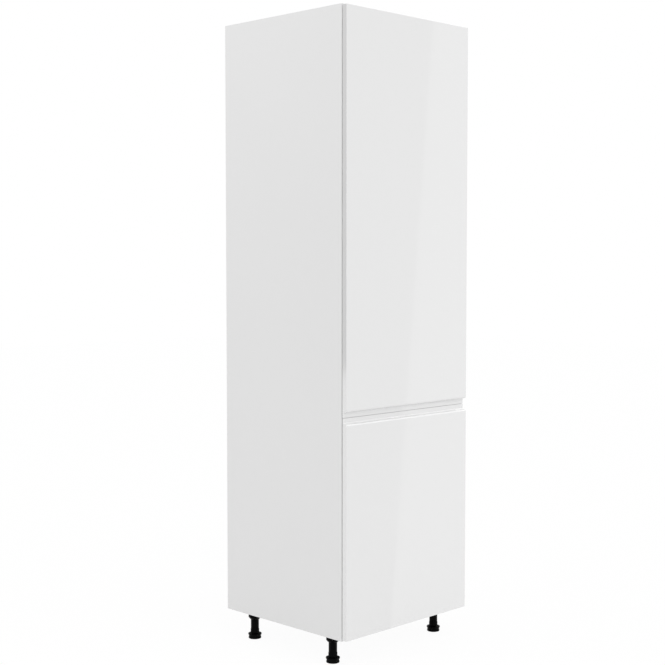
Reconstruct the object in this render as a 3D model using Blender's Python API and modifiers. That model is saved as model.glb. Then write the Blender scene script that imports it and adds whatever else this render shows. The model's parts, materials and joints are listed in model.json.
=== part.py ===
"""Tall kitchen cabinet with two doors, standing on four adjustable legs.

Metres, +Z up. X runs across the cabinet and -Y is the front. The origin is on the floor,
under the middle of the cabinet. Each door hangs on concealed hinges on the right side.
"""
import math

import bmesh
import bpy
from mathutils import Matrix, Vector

# Whole cabinet
CABINET_WIDTH = 0.600
CARCASS_DEPTH = 0.560
CARCASS_HEIGHT = 2.020
LEG_HEIGHT = 0.095
LOWER_FRONT_HEIGHT = 0.720

# Boards and the clearance between pieces that touch
BOARD = 0.016
FIT_GAP = 0.0003
CUT_OVERRUN = 0.002
MERGE_DISTANCE = 0.00001
BACK_SHEET = 0.003
BACK_INSET = 0.016
GROOVE_DEPTH = 0.007

# Doors
DOOR_THICKNESS = 0.018
DOOR_STANDOFF = 0.002
DOOR_SIDE_REVEAL = 0.0015
DOOR_END_REVEAL = 0.0035
DOOR_SPLIT_GAP = 0.001
DOOR_EDGE_RADIUS = 0.001
GRIP_HEIGHT = 0.026
GRIP_LIP = 0.0035
GRIP_HOLLOW_RADIUS = 0.007
GRIP_NOSE_RADIUS = 0.007

# Adjustable shelves and their pins. Each shelf lies between two neighbouring hinges, clear
# of their plates, and its share runs from 0 over the lower plate to 1 under the upper one.
SHELF_FRONT_SETBACK = 0.020
SHELF_BACK_CLEARANCE = 0.003
SHELF_PLATE_CLEARANCE = 0.016
SHELF_PLACE_SHARES = {
    "lower_1": ("lower_low", "lower_high", 0.507),
    "upper_1": ("upper_low", "upper_middle", 0.450),
    "upper_2": ("upper_middle", "upper_high", 0.0),
    "upper_3": ("upper_middle", "upper_high", 0.678),
}
PIN_RADIUS = 0.0025
PIN_COLLAR_RADIUS = 0.0036
PIN_COLLAR_LENGTH = 0.001
PIN_IN_BOARD = 0.010
PIN_REACH = 0.009
PIN_FRONT_SETBACK = 0.037
PIN_BACK_SETBACK = 0.060

# Legs, from the floor up
LEG_SIDE_INSET = 0.047
LEG_FRONT_SETBACK = 0.086
LEG_BACK_SETBACK = 0.090
FOOT_RADIUS = 0.0219
FOOT_RIM_HEIGHT = 0.005
FOOT_WAIST_RADIUS = 0.0208
FOOT_WAIST_HEIGHT = 0.0045
FOOT_COLLAR_RADIUS = 0.0233
FOOT_HEIGHT = 0.020
FOOT_STEM_RADIUS = 0.008
FOOT_STEM_LENGTH = 0.036
TUBE_RADIUS = 0.0140
TUBE_FLARE_RADIUS = 0.0150
TUBE_FLARE_HEIGHT = 0.011
TUBE_WALL_TAPER = 0.004
SOCKET_RADIUS = 0.0220
SOCKET_DROP = 0.028
SOCKET_TAPER = 0.007
SOCKET_LIP = 0.0013
SOCKET_PLATE_RADIUS = 0.029
SOCKET_PLATE = 0.003
SOCKET_ROOF = 0.004

# Hinges. Insets run from the carcass's outer side towards its middle, and reaches run
# forward from the carcass's front edge.
HINGE_END_DISTANCE = 0.100
ARM_PIVOT_INSET = 0.0325
ARM_PIVOT_REACH = 0.0008
CUP_PIVOT_INSET = 0.0123
CUP_PIVOT_REACH = 0.0078
CUP_RADIUS = 0.0175
CUP_EDGE_DISTANCE = 0.003
CUP_WALL = 0.0015
CUP_FLOOR = 0.001
CUP_DEPTH = 0.0116
CUP_FLANGE = 0.001
CUP_FLANGE_WIDTH = 0.021
CUP_FLANGE_LENGTH = 0.052
PIVOT_PIN_RADIUS = 0.00125
LINK_WIDTH = 0.010
LINK_THICKNESS = 0.0025
LINK_EYE_RADIUS = 0.0029
LINK_BOW = 0.0066
ARM_CHEEK = 0.0013
ARM_EYE_RADIUS = 0.0033
ARM_SLOT_DEPTH = 0.0038
ARM_HEIGHT = 0.0095
ARM_BODY_WIDTH = 0.017
ARM_BODY_FRONT = 0.020
ARM_BODY_BACK = 0.070
ARM_NECK_SETBACK = 0.014
ARM_NECK_DEPTH = 0.008
PLATE_THICKNESS = 0.0019
PLATE_SPINE_WIDTH = 0.014
PLATE_WING_WIDTH = 0.048
PLATE_WING_DEPTH = 0.016

# Sides of round pieces
LEG_SIDES = 24
PIN_SIDES = 8
CUP_SIDES = 24
PIVOT_SIDES = 10
ARC_STEPS = 5
EDGE_STEPS = 2

# Faces that meet at a sharper angle than this, in degrees, keep a crisp edge
CRISP_ANGLE = 40

# Places worked out from the sizes above
OVERALL_DEPTH = CARCASS_DEPTH + DOOR_STANDOFF + DOOR_THICKNESS
HALF_WIDTH = CABINET_WIDTH / 2
INNER_HALF = HALF_WIDTH - BOARD
DOOR_FRONT_Y = -OVERALL_DEPTH / 2
DOOR_BACK_Y = DOOR_FRONT_Y + DOOR_THICKNESS
CARCASS_FRONT_Y = DOOR_BACK_Y + DOOR_STANDOFF
CARCASS_BACK_Y = CARCASS_FRONT_Y + CARCASS_DEPTH
SHEET_BACK_Y = CARCASS_BACK_Y - BACK_INSET
SHEET_FRONT_Y = SHEET_BACK_Y - BACK_SHEET
CARCASS_BOTTOM = LEG_HEIGHT
CARCASS_TOP = LEG_HEIGHT + CARCASS_HEIGHT
SPLIT_Z = CARCASS_BOTTOM + LOWER_FRONT_HEIGHT
TOP_UNDERSIDE = CARCASS_TOP - BOARD
FIXED_UNDERSIDE = SPLIT_Z - BOARD / 2
DOOR_WIDTH = CABINET_WIDTH - 2 * DOOR_SIDE_REVEAL
CUP_CENTRE_X = HALF_WIDTH - DOOR_SIDE_REVEAL - CUP_EDGE_DISTANCE - CUP_RADIUS
ARM_FOOT_INSET = BOARD + FIT_GAP + PLATE_THICKNESS + FIT_GAP
ARM_PIVOT = (HALF_WIDTH - ARM_PIVOT_INSET, CARCASS_FRONT_Y - ARM_PIVOT_REACH)
CUP_PIVOT = (HALF_WIDTH - CUP_PIVOT_INSET, CARCASS_FRONT_Y - CUP_PIVOT_REACH)
LOWER_DOOR_Z = (CARCASS_BOTTOM + DOOR_END_REVEAL, SPLIT_Z - DOOR_SPLIT_GAP / 2)
UPPER_DOOR_Z = (SPLIT_Z + DOOR_SPLIT_GAP / 2, CARCASS_TOP - DOOR_END_REVEAL)
HINGE_HEIGHTS = {
    "lower_low": LOWER_DOOR_Z[0] + HINGE_END_DISTANCE,
    "lower_high": LOWER_DOOR_Z[1] - HINGE_END_DISTANCE,
    "upper_low": UPPER_DOOR_Z[0] + HINGE_END_DISTANCE,
    "upper_middle": sum(UPPER_DOOR_Z) / 2,
    "upper_high": UPPER_DOOR_Z[1] - HINGE_END_DISTANCE,
}

# Colour, roughness and metallic value of each finish
FINISHES = {
    "white_laminate": ((0.80, 0.80, 0.80, 1.0), 0.55, 0.0),
    "gloss_white_front": ((0.84, 0.84, 0.84, 1.0), 0.12, 0.0),
    "white_back_sheet": ((0.78, 0.78, 0.77, 1.0), 0.65, 0.0),
    "black_leg_plastic": ((0.012, 0.012, 0.013, 1.0), 0.38, 0.0),
    "nickel_hinge_steel": ((0.62, 0.60, 0.57, 1.0), 0.30, 1.0),
    "zinc_pin_steel": ((0.58, 0.58, 0.60, 1.0), 0.35, 1.0),
}


def clear_scene():
    for obj in list(bpy.data.objects):
        bpy.data.objects.remove(obj, do_unlink=True)


def make_collection(name):
    collection = bpy.data.collections.new(name)
    bpy.context.scene.collection.children.link(collection)
    return collection


def make_finish(piece_name, finish):
    """One material for each piece, with the values of its finish."""
    colour, roughness, metallic = FINISHES[finish]
    material = bpy.data.materials.new(piece_name + "_" + finish)
    material.use_nodes = True
    shader = material.node_tree.nodes["Principled BSDF"]
    shader.inputs["Base Color"].default_value = colour
    shader.inputs["Roughness"].default_value = roughness
    shader.inputs["Metallic"].default_value = metallic
    material.diffuse_color = colour
    return material


def mesh_from(work, name):
    mesh = bpy.data.meshes.new(name)
    work.to_mesh(mesh)
    work.free()
    return mesh


def add_object(name, mesh, collection, location=(0, 0, 0)):
    obj = bpy.data.objects.new(name, mesh)
    obj.location = location
    collection.objects.link(obj)
    return obj


def add_box(name, low, high, collection):
    """A box between two corners, with its origin at its centre."""
    low, high = Vector(low), Vector(high)
    work = bmesh.new()
    bmesh.ops.create_cube(work, size=1.0)
    bmesh.ops.scale(work, vec=high - low, verts=work.verts)
    return add_object(name, mesh_from(work, name), collection, (low + high) / 2)


def add_rod(name, radius, start, end, sides, collection):
    """A round bar from one point to another."""
    start, end = Vector(start), Vector(end)
    work = bmesh.new()
    bmesh.ops.create_cone(
        work, cap_ends=True, segments=sides, radius1=radius, radius2=radius, depth=(end - start).length)
    turn = (end - start).to_track_quat("Z", "Y").to_matrix().to_4x4()
    bmesh.ops.transform(work, matrix=turn, verts=work.verts)
    return add_object(name, mesh_from(work, name), collection, (start + end) / 2)


def add_turned(name, profile, sides, collection, location=(0, 0, 0)):
    """A turned piece about +Z. The profile holds (radius, height), from the top down."""
    mesh = bpy.data.meshes.new(name)
    points = [(radius, 0, height) for radius, height in profile]
    edges = [(index, index + 1) for index in range(len(points) - 1)]
    mesh.from_pydata(points, edges, [])
    obj = add_object(name, mesh, collection, location)
    screw = obj.modifiers.new("turn", "SCREW")
    screw.steps = sides
    screw.render_steps = sides
    screw.use_merge_vertices = True
    screw.merge_threshold = MERGE_DISTANCE
    screw.use_smooth_shade = False
    return obj


def add_outline(name, outlines, thickness, collection, turn=Matrix.Identity(4)):
    """A flat shape from closed outlines in its own XY plane, the later ones being holes."""
    curve = bpy.data.curves.new(name, "CURVE")
    curve.dimensions = "2D"
    curve.fill_mode = "BOTH"
    curve.extrude = thickness / 2
    for outline in outlines:
        spline = curve.splines.new("POLY")
        spline.points.add(len(outline) - 1)
        for point, place in zip(spline.points, outline):
            point.co = (place[0], place[1], 0, 1)
        spline.use_cyclic_u = True
    guide = add_object(name + "_outline", curve, collection)
    guide.matrix_world = turn
    bpy.context.view_layer.update()
    mesh = bpy.data.meshes.new_from_object(guide.evaluated_get(bpy.context.evaluated_depsgraph_get()))
    bpy.data.objects.remove(guide, do_unlink=True)
    work = bmesh.new()
    work.from_mesh(mesh)
    bmesh.ops.remove_doubles(work, verts=work.verts, dist=MERGE_DISTANCE)
    bmesh.ops.recalc_face_normals(work, faces=work.faces)
    work.to_mesh(mesh)
    work.free()
    obj = add_object(name, mesh, collection)
    obj.matrix_world = turn
    return obj


def arc(centre, radius, start, end, steps=ARC_STEPS):
    """Points on an arc, from one angle to another in degrees."""
    points = []
    for index in range(steps + 1):
        angle = math.radians(start + (end - start) * index / steps)
        points.append((centre[0] + radius * math.cos(angle), centre[1] + radius * math.sin(angle)))
    return points


def apply_boolean(obj, other, operation):
    """Cut with, or join, another solid that stays behind as a guide."""
    boolean = obj.modifiers.new(operation.lower(), "BOOLEAN")
    boolean.operation = operation
    boolean.solver = "EXACT"
    boolean.object = other


def baked_mesh(obj):
    """The mesh of an object with its modifiers applied, in the object's own frame."""
    bpy.context.view_layer.update()
    return bpy.data.meshes.new_from_object(obj.evaluated_get(bpy.context.evaluated_depsgraph_get()))


def finish_piece(obj, finish):
    """Give a piece its material, and shade its round faces smooth."""
    obj.data.materials.clear()
    obj.data.materials.append(make_finish(obj.name, finish))
    obj.data.shade_smooth()
    obj.data.set_sharp_from_angle(angle=math.radians(CRISP_ANGLE))


def add_axis(name, location, collection):
    """An empty on a joint's axis, which carries the pieces that turn about it."""
    axis = bpy.data.objects.new(name, None)
    axis.location = location
    axis.empty_display_size = BOARD
    collection.objects.link(axis)
    return axis


def carry(axis, obj):
    """Parent a piece to an axis and leave it where it is."""
    obj.parent = axis
    obj.matrix_parent_inverse = Matrix.Translation(-axis.location)


def pin_places():
    """Where each shelf pin goes: name, side (-1 left, +1 right), y and z."""
    places = []
    rows = {"front": CARCASS_FRONT_Y + PIN_FRONT_SETBACK, "back": CARCASS_BACK_Y - PIN_BACK_SETBACK}
    for shelf_name, underside in shelf_undersides().items():
        for side_name, side in (("left", -1), ("right", 1)):
            for row_name, y in rows.items():
                name = "_".join(("pin", shelf_name, row_name, side_name))
                places.append((name, side, y, underside - FIT_GAP - PIN_RADIUS))
    return places


def shelf_undersides():
    """The height of each adjustable shelf's underside."""
    heights = {}
    clear_of_plate = PLATE_WING_WIDTH / 2 + SHELF_PLATE_CLEARANCE
    for name, (hinge_below, hinge_above, share) in SHELF_PLACE_SHARES.items():
        lowest = HINGE_HEIGHTS[hinge_below] + clear_of_plate
        highest = HINGE_HEIGHTS[hinge_above] - clear_of_plate - BOARD
        heights[name] = lowest + share * (highest - lowest)
    return heights


def make_side_panel(side, name, parts, cutters):
    """A side panel, grooved for the back sheet and bored for the shelf pins."""
    inner, outer = side * INNER_HALF, side * HALF_WIDTH
    panel = add_box(
        name,
        (min(inner, outer), CARCASS_FRONT_Y, CARCASS_BOTTOM),
        (max(inner, outer), CARCASS_BACK_Y, CARCASS_TOP),
        parts)
    groove_ends = (inner - side * CUT_OVERRUN, inner + side * GROOVE_DEPTH)
    groove = add_box(
        "cut_groove_" + name,
        (min(groove_ends), SHEET_FRONT_Y - FIT_GAP, CARCASS_BOTTOM - CUT_OVERRUN),
        (max(groove_ends), SHEET_BACK_Y + FIT_GAP, CARCASS_TOP + CUT_OVERRUN),
        cutters)
    apply_boolean(panel, groove, "DIFFERENCE")
    for pin_name, pin_side, y, z in pin_places():
        if pin_side == side:
            bore = add_rod(
                "cut_bore_" + pin_name,
                PIN_RADIUS + FIT_GAP,
                (inner - side * CUT_OVERRUN, y, z),
                (inner + side * (PIN_IN_BOARD + FIT_GAP), y, z),
                PIN_SIDES, cutters)
            apply_boolean(panel, bore, "DIFFERENCE")
    finish_piece(panel, "white_laminate")


def make_carcass(parts, cutters):
    """The two sides, the boards between them and the back sheet."""
    make_side_panel(-1, "side_panel_left", parts, cutters)
    make_side_panel(1, "side_panel_right", parts, cutters)
    across = INNER_HALF - FIT_GAP
    boards = {"bottom_panel": CARCASS_BOTTOM, "fixed_shelf": FIXED_UNDERSIDE, "top_panel": TOP_UNDERSIDE}
    for name, underside in boards.items():
        board = add_box(
            name,
            (-across, CARCASS_FRONT_Y, underside),
            (across, SHEET_FRONT_Y - FIT_GAP, underside + BOARD),
            parts)
        finish_piece(board, "white_laminate")
    reach = INNER_HALF + GROOVE_DEPTH - FIT_GAP
    sheet = add_box(
        "back_sheet",
        (-reach, SHEET_FRONT_Y, CARCASS_BOTTOM),
        (reach, SHEET_BACK_Y, CARCASS_TOP),
        parts)
    finish_piece(sheet, "white_back_sheet")


def make_shelves(parts):
    """The adjustable shelves, each lying on four pins."""
    across = INNER_HALF - PIN_COLLAR_LENGTH - 2 * FIT_GAP
    for name, underside in shelf_undersides().items():
        shelf = add_box(
            "shelf_" + name,
            (-across, CARCASS_FRONT_Y + SHELF_FRONT_SETBACK, underside),
            (across, SHEET_FRONT_Y - SHELF_BACK_CLEARANCE, underside + BOARD),
            parts)
        finish_piece(shelf, "white_laminate")


def make_pins(parts):
    """Steel pins, turned about their own length and pushed into the side panels."""
    collar_end = FIT_GAP + PIN_COLLAR_LENGTH
    profile = (
        (0, PIN_IN_BOARD),
        (PIN_RADIUS, PIN_IN_BOARD),
        (PIN_RADIUS, -FIT_GAP),
        (PIN_COLLAR_RADIUS, -FIT_GAP),
        (PIN_COLLAR_RADIUS, -collar_end),
        (PIN_RADIUS, -collar_end),
        (PIN_RADIUS, -PIN_REACH),
        (0, -PIN_REACH),
    )
    for name, side, y, z in pin_places():
        pin = add_turned(name, profile, PIN_SIDES, parts, (side * INNER_HALF, y, z))
        pin.rotation_euler = (0, side * math.pi / 2, 0)
        finish_piece(pin, "zinc_pin_steel")


def grip_outline(length):
    """A door's section: depth forward from its back face, and height from its grip end."""
    shoulder = GRIP_HEIGHT - GRIP_NOSE_RADIUS
    hollow = (GRIP_LIP + GRIP_HOLLOW_RADIUS, shoulder - GRIP_HOLLOW_RADIUS)
    nose = (DOOR_THICKNESS - GRIP_NOSE_RADIUS, GRIP_HEIGHT)
    edge = (DOOR_THICKNESS - DOOR_EDGE_RADIUS, length - DOOR_EDGE_RADIUS)
    points = [(0, 0), (GRIP_LIP, 0)]
    points += arc(hollow, GRIP_HOLLOW_RADIUS, 180, 90)
    points += arc(nose, GRIP_NOSE_RADIUS, -90, 0)
    points += arc(edge, DOOR_EDGE_RADIUS, 0, 90, EDGE_STEPS)
    points += [(0, length)]
    return points


def make_door(name, span, grip_at_top, cup_heights, axis, parts, cutters):
    """A door with its finger grip milled across one end, and holes for the hinge cups."""
    length = span[1] - span[0]
    points = grip_outline(length)
    if grip_at_top:
        outline = [(DOOR_BACK_Y - depth, span[1] - height) for depth, height in points]
    else:
        outline = [(DOOR_BACK_Y - depth, span[0] + height) for depth, height in points]
    across = Matrix(((0, 0, 1, 0), (1, 0, 0, 0), (0, 1, 0, 0), (0, 0, 0, 1)))
    door = add_outline(name, [outline], DOOR_WIDTH, parts, across)
    floor_y = DOOR_BACK_Y - CUP_DEPTH - CUP_FLOOR - FIT_GAP
    for index, height in enumerate(cup_heights):
        hole = add_rod(
            "cut_cup_" + name + "_" + str(index),
            CUP_RADIUS + FIT_GAP,
            (CUP_CENTRE_X, floor_y, height),
            (CUP_CENTRE_X, DOOR_BACK_Y + CUT_OVERRUN, height),
            CUP_SIDES, cutters)
        apply_boolean(door, hole, "DIFFERENCE")
    finish_piece(door, "gloss_white_front")
    carry(axis, door)


def model_cup(cutters):
    """The hinge cup and its flange, hollowed, with the door pivot's pin across it."""
    rim_y = DOOR_BACK_Y + FIT_GAP + CUP_FLANGE
    bottom_y = DOOR_BACK_Y - CUP_DEPTH - CUP_FLOOR
    cup = add_rod(
        "cup_body", CUP_RADIUS, (CUP_CENTRE_X, bottom_y, 0), (CUP_CENTRE_X, rim_y, 0), CUP_SIDES, cutters)
    flange = add_box(
        "cup_flange",
        (CUP_CENTRE_X - CUP_FLANGE_WIDTH / 2, DOOR_BACK_Y + FIT_GAP, -CUP_FLANGE_LENGTH / 2),
        (CUP_CENTRE_X + CUP_FLANGE_WIDTH / 2, rim_y, CUP_FLANGE_LENGTH / 2),
        cutters)
    hollow = add_rod(
        "cup_hollow",
        CUP_RADIUS - CUP_WALL,
        (CUP_CENTRE_X, DOOR_BACK_Y - CUP_DEPTH, 0),
        (CUP_CENTRE_X, rim_y + CUT_OVERRUN, 0),
        CUP_SIDES, cutters)
    offset = CUP_CENTRE_X - CUP_PIVOT[0]
    pin_reach = math.sqrt((CUP_RADIUS - CUP_WALL / 2) ** 2 - offset ** 2)
    pin = add_rod(
        "cup_pin", PIVOT_PIN_RADIUS, (*CUP_PIVOT, -pin_reach), (*CUP_PIVOT, pin_reach), PIVOT_SIDES, cutters)
    apply_boolean(cup, flange, "UNION")
    apply_boolean(cup, hollow, "DIFFERENCE")
    apply_boolean(cup, pin, "UNION")
    return baked_mesh(cup), cup.location.copy()


def link_outline():
    """The bowed link in plan: a curved strip between its two pivots."""
    start, end = Vector(ARM_PIVOT), Vector(CUP_PIVOT)
    half_chord = (end - start).length / 2
    bow_radius = (half_chord ** 2 + LINK_BOW ** 2) / (2 * LINK_BOW)
    forward = Vector((end.y - start.y, start.x - end.x)).normalized()
    centre = (start + end) / 2 + forward * (LINK_BOW - bow_radius)
    middle = math.degrees(math.atan2(forward.y, forward.x))
    half_turn = math.degrees(math.asin(half_chord / bow_radius))
    steps = 3 * ARC_STEPS
    outer = arc(centre, bow_radius + LINK_THICKNESS / 2, middle - half_turn, middle + half_turn, steps)
    inner = arc(centre, bow_radius - LINK_THICKNESS / 2, middle + half_turn, middle - half_turn, steps)
    return outer + inner


def model_link(cutters):
    """A link of a hinge, from the arm's pin to the cup's pin, bored for both."""
    link = add_outline("link_strip", [link_outline()], LINK_WIDTH, cutters)
    bore_half = LINK_WIDTH / 2 + CUT_OVERRUN
    for name, pivot in (("arm", ARM_PIVOT), ("cup", CUP_PIVOT)):
        eye = add_rod(
            "link_eye_" + name, LINK_EYE_RADIUS,
            (*pivot, -LINK_WIDTH / 2), (*pivot, LINK_WIDTH / 2), 2 * PIVOT_SIDES, cutters)
        apply_boolean(link, eye, "UNION")
    for name, pivot in (("arm", ARM_PIVOT), ("cup", CUP_PIVOT)):
        bore = add_rod(
            "link_bore_" + name, PIVOT_PIN_RADIUS + FIT_GAP,
            (*pivot, -bore_half), (*pivot, bore_half), PIVOT_SIDES, cutters)
        apply_boolean(link, bore, "DIFFERENCE")
    return baked_mesh(link), link.location.copy()


def arm_outline():
    """The arm in plan: a body over the mounting plate, a neck and the pivot's eye."""
    top = ARM_FOOT_INSET + ARM_HEIGHT
    points = [
        (ARM_FOOT_INSET, -ARM_NECK_SETBACK - ARM_EYE_RADIUS),
        (ARM_FOOT_INSET, -ARM_BODY_BACK),
        (top - ARM_EYE_RADIUS, -ARM_BODY_BACK),
        (top, -ARM_BODY_BACK + ARM_HEIGHT),
        (top + ARM_CHEEK, -ARM_BODY_FRONT),
        (ARM_PIVOT_INSET + ARM_CHEEK, -ARM_NECK_DEPTH),
    ]
    points += arc((ARM_PIVOT_INSET, ARM_PIVOT_REACH), ARM_EYE_RADIUS, 0, 200, 2 * ARC_STEPS)
    points += [(ARM_PIVOT_INSET - 2 * ARM_EYE_RADIUS, -ARM_NECK_DEPTH)]
    return [(HALF_WIDTH - inset, CARCASS_FRONT_Y - reach) for inset, reach in points]


def model_arm(cutters):
    """The hinge arm: forked at its pivot, with the arm pin across the fork."""
    fork_width = LINK_WIDTH + 2 * FIT_GAP + 2 * ARM_CHEEK
    arm = add_outline("arm_neck", [arm_outline()], fork_width, cutters)
    foot_x = HALF_WIDTH - ARM_FOOT_INSET
    body = add_box(
        "arm_body",
        (foot_x - ARM_HEIGHT, CARCASS_FRONT_Y + ARM_BODY_FRONT, -ARM_BODY_WIDTH / 2),
        (foot_x, CARCASS_FRONT_Y + ARM_BODY_BACK - ARM_EYE_RADIUS, ARM_BODY_WIDTH / 2),
        cutters)
    slot_half = LINK_WIDTH / 2 + FIT_GAP
    slot = add_box(
        "arm_slot",
        (ARM_PIVOT[0] - 3 * ARM_EYE_RADIUS, ARM_PIVOT[1] - 3 * ARM_EYE_RADIUS, -slot_half),
        (ARM_PIVOT[0] + 3 * ARM_EYE_RADIUS, ARM_PIVOT[1] + ARM_SLOT_DEPTH, slot_half),
        cutters)
    pin_half = slot_half + ARM_CHEEK / 2
    pin = add_rod(
        "arm_pin", PIVOT_PIN_RADIUS, (*ARM_PIVOT, -pin_half), (*ARM_PIVOT, pin_half), PIVOT_SIDES, cutters)
    apply_boolean(arm, body, "UNION")
    apply_boolean(arm, slot, "DIFFERENCE")
    apply_boolean(arm, pin, "UNION")
    return baked_mesh(arm), arm.location.copy()


def model_plate(cutters):
    """The mounting plate on the side panel: a spine with two wings for its screws."""
    inner_x, outer_x = INNER_HALF - FIT_GAP - PLATE_THICKNESS, INNER_HALF - FIT_GAP
    spine = add_box(
        "plate_spine",
        (inner_x, CARCASS_FRONT_Y + ARM_BODY_FRONT, -PLATE_SPINE_WIDTH / 2),
        (outer_x, CARCASS_FRONT_Y + ARM_BODY_BACK, PLATE_SPINE_WIDTH / 2),
        cutters)
    wing_y = CARCASS_FRONT_Y + PIN_FRONT_SETBACK
    wings = add_box(
        "plate_wings",
        (inner_x, wing_y - PLATE_WING_DEPTH / 2, -PLATE_WING_WIDTH / 2),
        (outer_x, wing_y + PLATE_WING_DEPTH / 2, PLATE_WING_WIDTH / 2),
        cutters)
    apply_boolean(spine, wings, "UNION")
    return baked_mesh(spine), spine.location.copy()


def make_hinges(parts, cutters, axes):
    """Every hinge: the same four pieces, repeated at each hinge height."""
    models = {
        "hinge_cup": model_cup(cutters),
        "hinge_link": model_link(cutters),
        "hinge_arm": model_arm(cutters),
        "hinge_plate": model_plate(cutters),
    }
    for place, height in HINGE_HEIGHTS.items():
        door = place.split("_")[0]
        for kind, (mesh, location) in models.items():
            piece = add_object(
                kind + "_" + place, mesh.copy(), parts, location + Vector((0, 0, height)))
            finish_piece(piece, "nickel_hinge_steel")
            if kind == "hinge_cup":
                carry(axes[door + "_door"], piece)
            if kind == "hinge_link":
                carry(axes[door + "_links"], piece)


def make_axes(parts):
    """An axis for each door, through the cup pins, and for its links, through the arm pins."""
    axes = {}
    for door, span in (("lower", LOWER_DOOR_Z), ("upper", UPPER_DOOR_Z)):
        middle = sum(span) / 2
        axes[door + "_door"] = add_axis(door + "_door_axis", (*CUP_PIVOT, middle), parts)
        axes[door + "_links"] = add_axis(door + "_links_axis", (*ARM_PIVOT, middle), parts)
    return axes


def make_doors(parts, cutters, axes):
    for door, span, grip_at_top in (("lower", LOWER_DOOR_Z, True), ("upper", UPPER_DOOR_Z, False)):
        heights = [height for place, height in HINGE_HEIGHTS.items() if place.startswith(door)]
        make_door("door_" + door, span, grip_at_top, heights, axes[door + "_door"], parts, cutters)


def foot_profile():
    """The spool-shaped foot and its threaded stem, from the stem's top down."""
    waist_low = FOOT_RIM_HEIGHT + FOOT_RADIUS - FOOT_WAIST_RADIUS
    waist_high = waist_low + FOOT_WAIST_HEIGHT
    collar_low = waist_high + FOOT_COLLAR_RADIUS - FOOT_WAIST_RADIUS
    stem_chamfer = FOOT_STEM_RADIUS / 8
    return (
        (0, FOOT_HEIGHT + FOOT_STEM_LENGTH),
        (FOOT_STEM_RADIUS - stem_chamfer, FOOT_HEIGHT + FOOT_STEM_LENGTH),
        (FOOT_STEM_RADIUS, FOOT_HEIGHT + FOOT_STEM_LENGTH - stem_chamfer),
        (FOOT_STEM_RADIUS, FOOT_HEIGHT),
        (TUBE_FLARE_RADIUS, FOOT_HEIGHT),
        (FOOT_COLLAR_RADIUS, (FOOT_HEIGHT + collar_low) / 2),
        (FOOT_COLLAR_RADIUS, collar_low),
        (FOOT_WAIST_RADIUS, waist_high),
        (FOOT_WAIST_RADIUS, waist_low),
        (FOOT_RADIUS, FOOT_RIM_HEIGHT),
        (FOOT_RADIUS, 0),
        (0, 0),
    )


def tube_profile():
    """The leg's tube, flared at its foot end and bored from below for the stem."""
    bottom = FOOT_HEIGHT + FIT_GAP
    top = LEG_HEIGHT - FIT_GAP - SOCKET_ROOF - FIT_GAP
    bore_top = bottom + FOOT_STEM_LENGTH + FIT_GAP
    flare_top = bottom + TUBE_FLARE_HEIGHT
    return (
        (0, top),
        (TUBE_RADIUS, top),
        (TUBE_RADIUS, flare_top + TUBE_WALL_TAPER),
        (TUBE_FLARE_RADIUS, flare_top),
        (TUBE_FLARE_RADIUS, bottom),
        (FOOT_STEM_RADIUS + FIT_GAP, bottom),
        (FOOT_STEM_RADIUS + FIT_GAP, bore_top),
        (0, bore_top),
    )


def socket_profile():
    """The socket under the bottom panel: a screwed plate and a tapered collar round the tube."""
    top = LEG_HEIGHT - FIT_GAP
    plate_under = top - SOCKET_PLATE
    underside = LEG_HEIGHT - SOCKET_DROP
    chamfer = SOCKET_PLATE / 3
    bore = TUBE_RADIUS + FIT_GAP
    return (
        (0, top),
        (SOCKET_PLATE_RADIUS, top),
        (SOCKET_PLATE_RADIUS, plate_under),
        (SOCKET_RADIUS, plate_under - chamfer),
        (SOCKET_RADIUS, underside + SOCKET_TAPER),
        (bore + SOCKET_LIP, underside),
        (bore, underside),
        (bore, top - SOCKET_ROOF),
        (0, top - SOCKET_ROOF),
    )


def make_legs(parts):
    """Four legs, each a socket, a tube and a foot that screws up and down."""
    profiles = {"leg_foot": foot_profile(), "leg_tube": tube_profile(), "leg_socket": socket_profile()}
    rows = {"front": CARCASS_FRONT_Y + LEG_FRONT_SETBACK, "back": CARCASS_BACK_Y - LEG_BACK_SETBACK}
    for row_name, y in rows.items():
        for side_name, side in (("left", -1), ("right", 1)):
            x = side * (HALF_WIDTH - LEG_SIDE_INSET)
            for kind, profile in profiles.items():
                name = "_".join((kind, row_name, side_name))
                piece = add_turned(name, profile, LEG_SIDES, parts, (x, y, 0))
                finish_piece(piece, "black_leg_plastic")


def main():
    clear_scene()
    parts = make_collection("kitchen_cabinet")
    cutters = make_collection("cutters")
    axes = make_axes(parts)
    make_carcass(parts, cutters)
    make_shelves(parts)
    make_pins(parts)
    make_doors(parts, cutters, axes)
    make_hinges(parts, cutters, axes)
    make_legs(parts)
    for guide in cutters.objects:
        guide.hide_render = True
        guide.display_type = "WIRE"


main()
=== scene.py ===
"""A tall white kitchen cabinet with two handleless doors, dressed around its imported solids.

Laid out as an add-on and run as a script. Lengths are in metres, +Z up, and the doors face -Y.
"""
import json
import math

import bmesh
import bpy
from bpy.props import FloatProperty, FloatVectorProperty, PointerProperty
from mathutils import Matrix, Vector

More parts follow.
